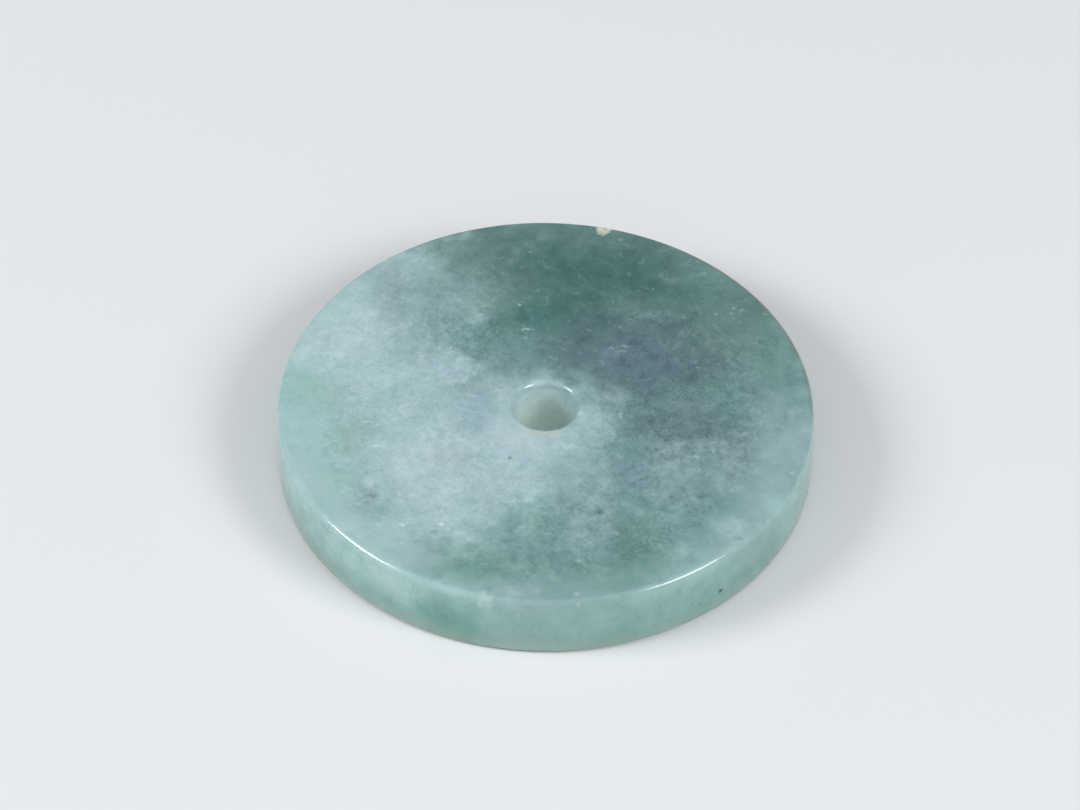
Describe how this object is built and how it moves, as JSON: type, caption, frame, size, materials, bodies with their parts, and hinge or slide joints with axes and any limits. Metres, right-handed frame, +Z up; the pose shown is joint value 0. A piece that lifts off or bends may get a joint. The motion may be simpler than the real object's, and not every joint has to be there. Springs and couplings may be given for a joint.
{
  "type": "jadeite disc pendant",
  "caption": "Thick flat polished jadeite disc pendant with a small central bore for a cord and a chip in its rim.",
  "frame": {"origin": "middle of the face that the disc lies on", "axes": "+Z up along the bore; +X to the right and -Y towards the viewer of the face with the rim chip at the back"},
  "size_m": [0.052, 0.052, 0.0072],
  "materials": {
    "jadeite": "polished"
  },
  "bodies": {
    "root": {"jadeite_disc": "jadeite"}
  },
  "joints": []
}
